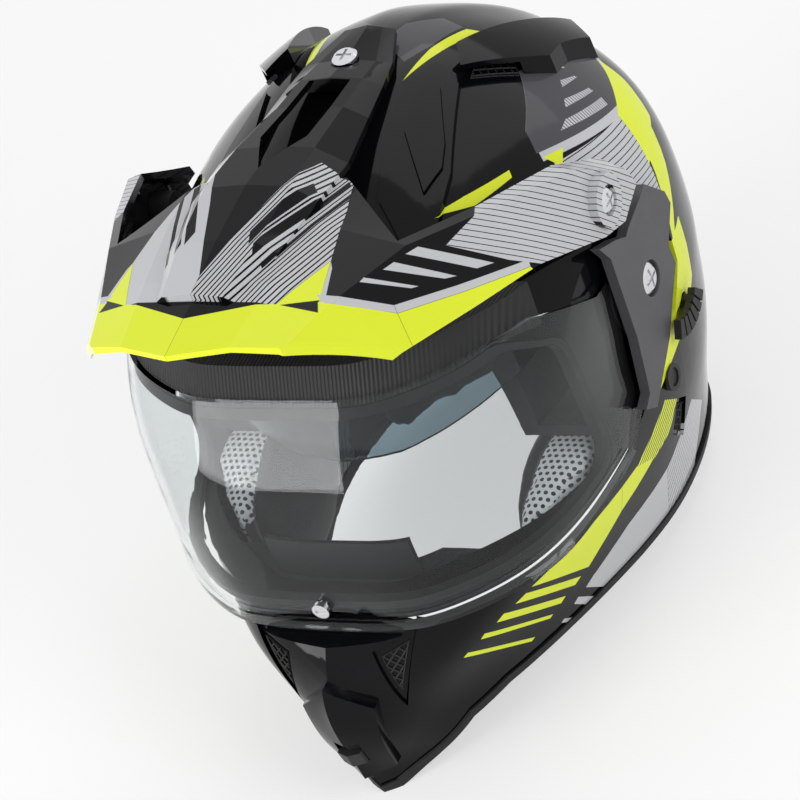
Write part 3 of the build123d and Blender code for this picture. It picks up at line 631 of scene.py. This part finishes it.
@dataclass
class Grille:
    """A diamond mesh that closes a vent on both sides, laid on the floor of its recess."""

    name: str
    plane: Plane
    corners: tuple[tuple[float, float], ...]
    start: float
    pitch: float = 3.4
    wire: float = 0.9
    lift: float = 0.5
    cells: int = 24

    def cut(self, middle: list[float]) -> bpy.types.Object:
        """Make the flat diamond mesh, trimmed to the vent's outline.

        Args:
            middle: The outline's middle in the flat view, in millimetres.

        Returns:
            The mesh, lying flat with that middle at the origin.
        """
        bpy.ops.object.select_all(action="DESELECT")
        bpy.ops.mesh.primitive_grid_add(
            x_subdivisions=self.cells, y_subdivisions=self.cells, size=self.cells * self.pitch * MM)
        grille = bpy.context.object
        grille.name = f"{self.name}_left"
        bpy.ops.object.mode_set(mode="EDIT")
        bpy.ops.mesh.select_all(action="SELECT")
        bpy.ops.transform.rotate(value=math.pi / 4, orient_axis="Z", center_override=(0.0, 0.0, 0.0))
        for corner, inward in Panel(self.plane, Swatch.BLACK, self.corners).edges():
            bpy.ops.mesh.select_all(action="SELECT")
            bpy.ops.mesh.bisect(
                plane_co=((corner[0] - middle[0]) * MM, (corner[1] - middle[1]) * MM, 0.0),
                plane_no=(-inward[0], -inward[1], 0.0), clear_outer=True)
        bpy.ops.object.mode_set(mode="OBJECT")
        return grille

    def lay(self, grille: bpy.types.Object, middle: list[float]) -> None:
        """Turn the flat mesh into its view, drop it on the vent's floor and make wires of its edges.

        Args:
            grille: The flat mesh.
            middle: The outline's middle in the flat view, in millimetres.
        """
        first, second = self.plane.value
        third = 3 - first - second
        columns = [Vector((0.0, 0.0, 0.0)) for _ in range(3)]
        columns[0][first] = columns[1][second] = columns[2][third] = 1.0
        place = [0.0, 0.0, 0.0]
        place[first], place[second], place[third] = middle[0] * MM, middle[1] * MM, self.start * MM
        grille.data.transform(Matrix.Translation(place) @ Matrix(columns).transposed().to_4x4())
        outward = self.start > 0
        bake_modifier(
            grille, "SHRINKWRAP", wrap_method="PROJECT", target=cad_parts["outer_shell"], offset=0.0,
            use_project_x=third == 0, use_project_y=third == 1, use_project_z=third == 2,
            use_negative_direction=outward, use_positive_direction=not outward)
        lift = [0.0, 0.0, 0.0]
        lift[third] = math.copysign(self.lift * MM, self.start)
        grille.data.transform(Matrix.Translation(lift))
        bake_modifier(grille, "WIREFRAME", thickness=self.wire * MM, use_replace=True)

    def build(self, finish: bpy.types.Material) -> None:
        """Make the left and right grille.

        Args:
            finish: The grille's material.
        """
        middle = [sum(corner[axis] for corner in self.corners) / len(self.corners) for axis in (0, 1)]
        grille = self.cut(middle)
        self.lay(grille, middle)
        twin = grille.copy()
        twin.data = grille.data.copy()
        twin.name = f"{self.name}_right"
        bpy.context.scene.collection.objects.link(twin)
        twin.data.transform(Matrix.Scale(-1.0, 4, (1.0, 0.0, 0.0)))
        for piece in (grille, twin):
            take(piece)
            bpy.ops.object.mode_set(mode="EDIT")
            bpy.ops.mesh.select_all(action="SELECT")
            bpy.ops.mesh.normals_make_consistent(inside=False)
            bpy.ops.object.mode_set(mode="OBJECT")
            piece.data.materials.clear()
            piece.data.materials.append(finish)
            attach(piece, HELMET)
            LOG.info("built %s: %d faces", piece.name, len(piece.data.polygons))


@dataclass
class Pad:
    """A sewn pad, swollen by a cloth simulation inside the space of the solid that holds its place."""

    node: str
    finish: bpy.types.Material
    seams: tuple[Seam, ...] = ()
    fill: float = 0.7
    voxel: float = 0.0045
    inset: float = 0.0016
    crown: float = 0.003
    pressure: float = 4.0
    frames: int = 20
    head: tuple[float, float, float] = (0.0, -0.005, 0.130)
    weld: float = 0.00001

    def copied(self) -> bpy.types.Object:
        """Copy the solid's mesh into a new piece whose triangles are joined."""
        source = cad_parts[self.node]
        pad = bpy.data.objects.new(f"{self.node}_cover", source.data.copy())
        bpy.context.scene.collection.objects.link(pad)
        take(pad)
        bpy.ops.object.mode_set(mode="EDIT")
        bpy.ops.mesh.select_all(action="SELECT")
        bpy.ops.mesh.remove_doubles(threshold=self.weld)
        bpy.ops.object.mode_set(mode="OBJECT")
        return pad

    def swell(self, pad: bpy.types.Object) -> None:
        """Blow the pad up with cloth pressure and cap how far each point goes.

        Args:
            pad: The remeshed pad.
        """
        mesh = pad.data
        start, reach = [], []
        for vertex in mesh.vertices:
            free = max(0.0, vertex.normal.dot((Vector(self.head) - vertex.co).normalized()))
            reach.append(self.inset + self.crown * free)
        for vertex in mesh.vertices:
            vertex.co -= vertex.normal * self.inset
            start.append(vertex.co.copy())
        cloth = pad.modifiers.new("swell", "CLOTH")
        cloth.settings.use_pressure = True
        cloth.settings.uniform_pressure_force = self.pressure
        cloth.settings.effector_weights.gravity = 0.0
        cloth.point_cache.frame_start = 1
        cloth.point_cache.frame_end = self.frames
        for step in range(1, self.frames + 1):
            bpy.context.scene.frame_set(step)
        bpy.ops.object.modifier_apply(modifier=cloth.name)
        bpy.context.scene.frame_set(1)
        for vertex, rest, limit in zip(mesh.vertices, start, reach):
            moved = vertex.co - rest
            if moved.length > limit:
                vertex.co = rest + moved.normalized() * limit

    def sew(self, pad: bpy.types.Object) -> None:
        """Pull the seams' channels in.

        Args:
            pad: The swollen and subdivided pad.
        """
        for seam in self.seams:
            for vertex in pad.data.vertices:
                folded_place = Vector((abs(vertex.co.x), vertex.co.y, vertex.co.z))
                share = 1.0 - seam.distance(folded_place) / (seam.width * MM)
                if share > 0.0:
                    vertex.co -= vertex.normal * seam.depth * MM * share * share * (3.0 - 2.0 * share)

    def build(self) -> bpy.types.Object:
        """Make the pad and let it stand for its solid.

        Returns:
            The finished pad.
        """
        pad = self.copied()
        bake_modifier(pad, "REMESH", mode="VOXEL", voxel_size=self.voxel)
        bake_modifier(pad, "SMOOTH", factor=0.5, iterations=2)
        self.swell(pad)
        bake_modifier(pad, "SUBSURF", levels=1, render_levels=1)
        self.sew(pad)
        bpy.ops.object.shade_smooth()
        pad.data.materials.clear()
        pad.data.materials.append(self.finish)
        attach(pad, HELMET)
        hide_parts(self.node)
        LOG.info("padded %s: %d faces", self.node, len(pad.data.polygons))
        return pad


SHELL_PANELS = (
    # The first two panels are the charcoal spoiler panel and, drawn a little larger under it, a silver band
    # along its lower and rear edges: that silver band is a painted highlight along the spoiler's rim, not a
    # decal.
    Panel(Plane.SIDE, Swatch.SILVER, ((2, 220), (13, 229), (47, 236), (67, 227), (95, 206), (67, 196))),
    Panel(Plane.SIDE, Swatch.CHARCOAL, ((4, 223), (13, 229), (47, 236), (67, 227), (90, 207), (66, 200))),
    Panel(Plane.SIDE, Swatch.SILVER, ((23, 220), (31, 220), (59, 209), (57, 206)), hatch=1.7, hatch_turn=62),
    Panel(Plane.SIDE, Swatch.SILVER, ((38, 221), (43, 222), (60, 214), (60, 212)), hatch=1.7, hatch_turn=62),
    Panel(Plane.SIDE, Swatch.SILVER, ((50, 223), (54, 224), (63, 219), (63, 218)), hatch=1.7, hatch_turn=62),
    Panel(Plane.SIDE, Swatch.SILVER, ((67, 226), (61, 225), (65, 222))),
    Panel(Plane.SIDE, Swatch.SILVER, ((4, 217), (55, 201), (36, 160), (0, 180), (-5, 200)),
          hatch=2.4, hatch_turn=-16, hatch_share=0.84),
    Panel(Plane.SIDE, Swatch.NEON, ((4, 221), (15, 217), (5, 214))),
    Panel(Plane.SIDE, Swatch.NEON, ((55, 201), (90, 206), (89, 194), (79, 180), (45, 180))),
    Panel(Plane.SIDE, Swatch.NEON, ((36, 160), (45, 181), (79, 181), (61, 167), (45, 146), (28, 146))),
    Panel(Plane.SIDE, Swatch.NEON, ((22, 147), (46, 147), (44, 131), (39, 116), (24, 109), (-28, 98),
                                    (-10, 118))),
    Panel(Plane.SIDE, Swatch.NEON, ((-19, 91), (-8, 81), (-19, 70), (-35, 68), (-50, 78)),
          hatch=2.2, hatch_turn=32, hatch_share=0.66),
    Panel(Plane.SIDE, Swatch.NEON, ((-50, 78), (-35, 69), (-62, 61), (-62, 77))),
    Panel(Plane.SIDE, Swatch.NEON, ((-62, 61), (-85, 47), (-122, 72), (-62, 77))),
    Panel(Plane.SIDE, Swatch.NEON, ((-125, 71), (-131, 70), (-94, 44), (-90, 46))),
    Panel(Plane.SIDE, Swatch.NEON, ((-137, 70), (-141, 68), (-103, 41), (-100, 43))),
    Panel(Plane.SIDE, Swatch.NEON, ((-147, 67), (-149, 65), (-110, 38), (-108, 39))),
    Panel(Plane.SIDE, Swatch.NEON, ((-155, 62.5), (-157, 61), (-121, 34), (-119, 35))),
    Panel(Plane.SIDE, Swatch.SILVER, ((9, 64), (29, 44), (9, 20), (-23, 18), (-23, 50)),
          hatch=3.0, hatch_turn=40, hatch_share=0.86),
    Panel(Plane.SIDE, Swatch.SILVER, ((-23, 50), (-23, 16), (-60, 16), (-83, 37), (-56, 46))),
    Panel(Plane.SIDE, Swatch.SILVER, ((-81, 38), (-87, 35), (-70, 18), (-64, 20))),
    Panel(Plane.SIDE, Swatch.SILVER, ((-92, 34), (-95, 32), (-80, 16), (-76, 18))),
    Panel(Plane.SIDE, Swatch.SILVER, ((-101.5, 29), (-103.5, 28), (-89, 15), (-87, 16))),
    Panel(Plane.TOP, Swatch.CHARCOAL, ((23, 28), (6, 42), (9, 60), (22, 71), (34, 66), (30, 44))),
    Panel(Plane.TOP, Swatch.NEON, ((27, 15), (30, 41), (36, 65), (41, 60), (38, 50))),
    Panel(Plane.TOP, Swatch.NEON, ((36, 65), (63, 73), (44, 56), (38, 54))),
    Panel(Plane.SIDE, Swatch.NEON, ((-52, 235), (-34, 232), (-11, 227), (-14, 225), (-36, 228))),
)
CHEVRON_TURN = 70.0
PEAK_PANELS = (
    Panel(Plane.TOP, Swatch.SILVER, ((0, -152), (38, -149), (51, -117), (46, -86), (41, -66), (26, -62),
                                     (14, -96), (0, -140)),
          mirrored=False, hatch=2.2, hatch_turn=CHEVRON_TURN, hatch_share=0.66),
    Panel(Plane.TOP, Swatch.SILVER, ((0, -152), (-38, -149), (-51, -117), (-46, -86), (-41, -66), (-26, -62),
                                     (-14, -96), (0, -140)), mirrored=False),
    Panel(Plane.TOP, Swatch.BLACK, ((16.5, -121), (31, -80), (28, -76), (14, -113))),
    Panel(Plane.TOP, Swatch.BLACK, ((20, -126), (41, -69), (38.5, -66), (18.5, -120))),
    Panel(Plane.TOP, Swatch.BLACK, ((25, -130), (46, -73), (44.5, -71), (23.5, -128))),
    Panel(Plane.TOP, Swatch.NEON, ((0, -190), (62, -190), (57, -141), (38, -148), (0, -151))),
    Panel(Plane.TOP, Swatch.NEON, ((38, -149), (51, -117), (54.5, -140))),
    Panel(Plane.TOP, Swatch.SILVER, ((51, -117), (53, -121), (57, -141), (54.5, -141))),
    Panel(Plane.SIDE, Swatch.NEON, ((-141, 268), (-125, 246), (-140, 222), (-172, 262))),
    Panel(Plane.SIDE, Swatch.NEON, ((-125, 246), (-66, 218.5), (-66, 204), (-140, 222))),
    Panel(Plane.SIDE, Swatch.SILVER, ((-137.5, 269), (-123, 249), (-125, 246), (-141, 267))),
    Panel(Plane.SIDE, Swatch.SILVER, ((-123, 249), (-64, 221), (-66, 218.5), (-125, 246))),
    Panel(Plane.SIDE, Swatch.SILVER, ((-91, 257), (-71, 227), (-30, 180), (34, 176), (34, 250), (-20, 250)),
          hatch=2.7, hatch_turn=-52, hatch_share=0.86),
    Panel(Plane.SIDE, Swatch.SILVER, ((-95, 257.5), (-77, 231), (-85, 235), (-101.5, 259))),
    Panel(Plane.SIDE, Swatch.SILVER, ((-107.5, 260), (-94, 239), (-99, 242), (-113.5, 261))),
    Panel(Plane.SIDE, Swatch.SILVER, ((-121.5, 264), (-109, 247), (-112, 248.5), (-124.5, 264))),
)


@dataclass(frozen=True)
class SoftBox:
    """One soft lamp: its place and size in metres, and its power in watts."""

    name: str
    place: tuple[float, float, float]
    size: tuple[float, float]
    power: float


@dataclass
class Studio:
    """The pale floor, soft lamps, plain world and the camera of the picture."""

    azimuth: float = 38.894
    elevation: float = 37.483
    roll: float = -25.621
    place: tuple[float, float, float] = (1.025, -1.323, 1.374)
    lens: float = 198.45
    sensor: float = 36.0
    far_clip: float = 20.0
    aim: tuple[float, float, float] = (0.0, 0.0, 0.13)
    floor_size: float = 6.0
    floor_glow: float = 0.55
    fade_start: float = 0.45
    fade_end: float = 1.6
    world_level: float = 0.55
    white: float = 1.0
    lamps: tuple[SoftBox, ...] = (
        SoftBox("key", (1.9, -0.6, 1.5), (1.0, 1.0), 18.0),
        SoftBox("front", (-0.78, -1.14, 0.42), (0.7, 0.8), 13.0),
        SoftBox("top", (0.2, 1.3, 1.9), (1.8, 1.8), 13.0))

    def camera(self) -> None:
        """Put the camera at the picture's viewing angle."""
        azimuth, elevation, roll = (math.radians(v) for v in (self.azimuth, self.elevation, self.roll))
        reach = math.cos(elevation)
        back = Vector((reach * math.sin(azimuth), -reach * math.cos(azimuth), math.sin(elevation)))
        level = Vector((math.cos(azimuth), math.sin(azimuth), 0.0))
        upward = back.cross(level)
        right = level * math.cos(roll) + upward * math.sin(roll)
        up = upward * math.cos(roll) - level * math.sin(roll)
        data = bpy.data.cameras.new("portrait")
        data.lens = self.lens
        data.sensor_width = self.sensor
        data.clip_end = self.far_clip
        camera = bpy.data.objects.new("portrait", data)
        bpy.context.scene.collection.objects.link(camera)
        turn = Matrix((right, up, back)).transposed().to_4x4()
        camera.matrix_world = Matrix.Translation(self.place) @ turn
        bpy.context.scene.camera = camera

    def hang(self, box: SoftBox) -> None:
        """Hang one soft box so that it looks at the helmet.

        Args:
            box: The soft box.
        """
        data = bpy.data.lights.new(box.name, "AREA")
        data.shape = "RECTANGLE"
        data.size, data.size_y = box.size
        data.energy = box.power
        lamp = bpy.data.objects.new(box.name, data)
        bpy.context.scene.collection.objects.link(lamp)
        aim = Vector(self.aim) - Vector(box.place)
        turn = aim.to_track_quat("-Z", "Y").to_matrix().to_4x4()
        lamp.matrix_world = Matrix.Translation(box.place) @ turn

    def seen(self, tree: bpy.types.NodeTree) -> bpy.types.NodeSocket:
        """Whether the background is seen, straight, in a reflection or through a clear part.

        Args:
            tree: The material's or world's nodes.

        Returns:
            One where it is seen and nought where it only lights.
        """
        path = add(tree, "ShaderNodeLightPath").node.outputs
        direct = add(tree, "ShaderNodeMath", {0: path["Is Camera Ray"], 1: path["Is Glossy Ray"]},
                     operation="MAXIMUM")
        return add(tree, "ShaderNodeMath", {0: direct, 1: path["Is Transmission Ray"]}, operation="MAXIMUM")

    def world(self) -> None:
        """Light the helmet from a plain sky that looks white."""
        world = bpy.data.worlds.new("studio")
        world.use_nodes = True
        tree = world.node_tree
        tree.nodes.clear()
        level = add(tree, "ShaderNodeMapRange", {
            "Value": self.seen(tree), "To Min": self.world_level, "To Max": self.white})
        sky = add(tree, "ShaderNodeBackground", {"Strength": level, "Color": linear("#FFFFFF")})
        add(tree, "ShaderNodeOutputWorld", {"Surface": sky})
        bpy.context.scene.world = world

    def floor(self) -> None:
        """Lay the pale floor, which fades into the white round it."""
        bpy.ops.object.select_all(action="DESELECT")
        bpy.ops.mesh.primitive_plane_add(size=self.floor_size)
        floor = bpy.context.object
        floor.name = "floor"
        material, tree, place = blank("Matt white paper, coated")
        paper = add(tree, "ShaderNodeBsdfDiffuse", {"Color": linear("#F4F4F4")})
        glow = add(tree, "ShaderNodeEmission", {"Color": linear("#FFFFFF"), "Strength": self.white})
        away = add(tree, "ShaderNodeVectorMath", {0: place}, "Value", operation="LENGTH")
        faded = add(tree, "ShaderNodeMapRange", {
            "Value": away, "From Min": self.fade_start, "From Max": self.fade_end,
            "To Min": self.floor_glow, "To Max": 1.0}, interpolation_type="SMOOTHSTEP")
        share = add(tree, "ShaderNodeMath", {0: self.seen(tree), 1: faded}, operation="MULTIPLY")
        surface = add(tree, "ShaderNodeMixShader", {0: share, 1: paper, 2: glow})
        add(tree, "ShaderNodeOutputMaterial", {"Surface": surface})
        floor.data.materials.append(material)

    def build(self) -> None:
        """Set the whole studio."""
        bpy.context.scene.view_settings.view_transform = "Standard"
        self.camera()
        self.world()
        self.floor()
        for box in self.lamps:
            self.hang(box)


@dataclass
class Shop:
    """The finishes that several sub-assemblies share."""

    gloss: bpy.types.Material = field(init=False)
    dark: bpy.types.Material = field(init=False)
    rubber: bpy.types.Material = field(init=False)
    plating: bpy.types.Material = field(init=False)

    def __post_init__(self) -> None:
        """Build the shared finishes."""
        self.gloss = Lacquer("Gloss black lacquer on ABS, sprayed", Swatch.BLACK).material()
        self.dark = Moulding("Black glass-filled nylon, moulded", "#141416").material()
        self.rubber = Moulding(
            "Black EPDM rubber, extruded", "#101011", roughness=0.68, grain=1.1).material()
        self.plating = Plating().material()


@dataclass
class Shell:
    """The outer shell with its rim, vents, buttons and grilles."""

    shop: Shop
    chin_vent: tuple[tuple[float, float], ...] = ((25, 80), (38, 84), (28.5, 60))
    side_vent: tuple[tuple[float, float], ...] = ((-8, 77), (-1.5, 72), (-5.5, 57), (-12.5, 65))
    top_mouth: tuple[tuple[float, float], ...] = ((51, 39), (52.5, 29), (68, 44), (61.5, 53))
    start: float = 300.0

    def build(self) -> None:
        """Dress the shell's pieces and lay the grilles."""
        # The shell's lacquer carries the decals and also the painted highlight along the spoiler's rim.
        shell = Lacquer("Gloss lacquer on ABS with decals, sprayed", Swatch.BLACK, SHELL_PANELS).material()
        dress({
            "outer_shell": shell, "top_vent_left": self.shop.gloss, "top_vent_right": self.shop.gloss,
            "side_button_left": self.shop.dark, "side_button_right": self.shop.dark,
            "rim_trim": self.shop.rubber, "chin_vent_cover": self.shop.gloss,
            "chin_vent_slider": self.shop.dark})
        for name, plane, corners, start in (
                ("chin_grille", Plane.FRONT, self.chin_vent, -self.start),
                ("side_grille", Plane.SIDE, self.side_vent, self.start),
                ("top_grille", Plane.TOP, self.top_mouth, self.start)):
            Grille(name, plane, corners, start).build(self.shop.rubber)


@dataclass
class PeakUnit:
    """The peak with its spacers and screws."""

    shop: Shop

    def build(self) -> None:
        """Dress the peak and its fastenings."""
        peak = Lacquer("Gloss lacquer on ABS with chevron decals, sprayed", Swatch.BLACK, PEAK_PANELS,
                       underside=Swatch.NIGHT).material()
        dress({
            "peak": peak, "peak_spacer_left": self.shop.dark, "peak_spacer_right": self.shop.dark,
            "peak_screw_left": self.shop.plating, "peak_screw_right": self.shop.plating,
            "peak_crown_screw": self.shop.plating})


@dataclass
class VisorUnit:
    """The clear visor, its side plates and fastenings, and the trim round the eye port."""

    shop: Shop
    visor_colour: str = "#F4F8F8"
    plate_colour: str = "#48474A"
    groove_pitch: float = 1.9

    def build(self) -> None:
        """Dress the visor's pieces."""
        satin = Moulding("Grey nylon, moulded satin", self.plate_colour, roughness=0.42).material()
        brow = Moulding("Black rubber, moulded with grooves", "#0E0E0F", roughness=0.6, grain=0.9,
                        groove_pitch=self.groove_pitch).material()
        dress({
            "visor": ClearSheet("Clear polycarbonate, hard coated", self.visor_colour).material(),
            "visor_baseplate_left": self.shop.dark, "visor_baseplate_right": self.shop.dark,
            "side_plate_left": satin, "side_plate_right": satin, "visor_screw_left": self.shop.plating,
            "visor_screw_right": self.shop.plating, "visor_latch_pin": self.shop.plating,
            "port_gasket": self.shop.rubber, "brow_trim": brow})


@dataclass
class SunShield:
    """The tinted inner visor with its pins and lever."""

    shop: Shop
    tint: str = "#7C909A"

    def build(self) -> None:
        """Dress the sun visor's pieces."""
        dress({
            "sun_visor": ClearSheet("Smoke blue polycarbonate, moulded", self.tint).material(),
            "sun_visor_pin_left": self.shop.dark, "sun_visor_pin_right": self.shop.dark,
            "sun_visor_lever": self.shop.dark})


@dataclass
class Interior:
    """The foam liner and the sewn pads."""

    shop: Shop
    cheek_mesh: Panel = Panel(Plane.TOP, Swatch.SILVER, (
        (79, -22), (92, -22), (101, -47), (102, -62), (99, -79), (90, -94), (76, -112), (71, -100),
        (73, -84)))
    cheek_seams: tuple[Seam, ...] = (
        Seam(Plane.TOP, (71, -104), (73, -84)), Seam(Plane.TOP, (73, -84), (79, -22)))
    crown_seams: tuple[Seam, ...] = (
        Seam(Plane.TOP, (22, -60), (22, 90)), Seam(Plane.TOP, (-5, 20), (80, 20)))
    neck_seams: tuple[Seam, ...] = (
        Seam(Plane.TOP, (30, 0), (52, 140)), Seam(Plane.TOP, (0.5, 40), (0.5, 140)))

    def build(self) -> None:
        """Dress the foam and make the pads."""
        foam = BeadFoam().material()
        dress({"head_foam": foam, "chin_foam": foam, "breath_guard": self.shop.rubber})
        cheek = Lining("Brushed polyester knit with spacer mesh, sewn", mesh=self.cheek_mesh,
                       seams=self.cheek_seams).material()
        crown = Lining("Brushed polyester knit with crown seams, sewn", seams=self.crown_seams).material()
        neck = Lining("Brushed polyester knit with nape seams, sewn", seams=self.neck_seams).material()
        for node, finish, seams in (
                ("cheek_pad_left", cheek, self.cheek_seams), ("cheek_pad_right", cheek, self.cheek_seams),
                ("crown_pad", crown, self.crown_seams), ("neck_roll", neck, self.neck_seams)):
            Pad(node, finish, seams).build()


def main() -> None:
    """Build the studio and every sub-assembly in order."""
    logging.basicConfig(level=logging.INFO)
    Studio().build()
    shop = Shop()
    for unit in (Shell(shop), PeakUnit(shop), VisorUnit(shop), SunShield(shop), Interior(shop)):
        unit.build()
        LOG.info("finished the %s", type(unit).__name__)


if __name__ == "__main__":
    main()
